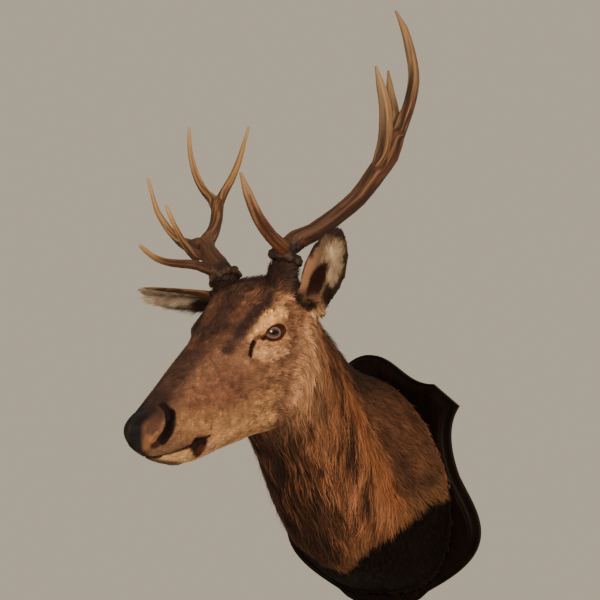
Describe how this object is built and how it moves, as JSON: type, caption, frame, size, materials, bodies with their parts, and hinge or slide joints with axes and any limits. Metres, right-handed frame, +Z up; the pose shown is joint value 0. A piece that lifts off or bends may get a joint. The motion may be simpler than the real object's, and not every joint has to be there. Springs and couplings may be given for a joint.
{
  "type": "red deer stag head mount",
  "caption": "Taxidermy shoulder mount of a red deer stag with branched antlers on a wooden shield board that hangs flat on a wall.",
  "frame": {"origin": "on the wall plane, at the middle of the flat back of the shield board, halfway across it and 250 mm above its bottom tip", "axes": "+Z up, +Y into the wall, so the stag looks towards -Y and +X is the stag's left"},
  "size_m": [0.4729, 0.7102, 1.0636],
  "materials": {
    "board": "dark mahogany stain under satin varnish",
    "hide": "tanned skin with a winter coat of brown hair",
    "nose": "bare black nose skin, pebbled and slightly glossy",
    "eye": "polished glass eye, dark brown",
    "antler": "natural antler bone, brown and grooved below, worn pale at the tips"
  },
  "bodies": {
    "root": {"board": "board", "nose_pad": "nose", "lower_jaw": "hide", "head": "hide", "neck": "hide", "cape": "hide", "ear_left": "hide", "ear_right": "hide", "eye_left": "eye", "eye_right": "eye", "antler_left_beam": "antler", "antler_left_brow_tine": "antler", "antler_left_trez_tine": "antler", "antler_left_main_top": "antler", "antler_left_rear_top": "antler", "antler_right_beam": "antler", "antler_right_brow_tine": "antler", "antler_right_bez_tine": "antler", "antler_right_trez_tine": "antler", "antler_right_main_top": "antler", "antler_right_rear_top": "antler"}
  },
  "joints": []
}
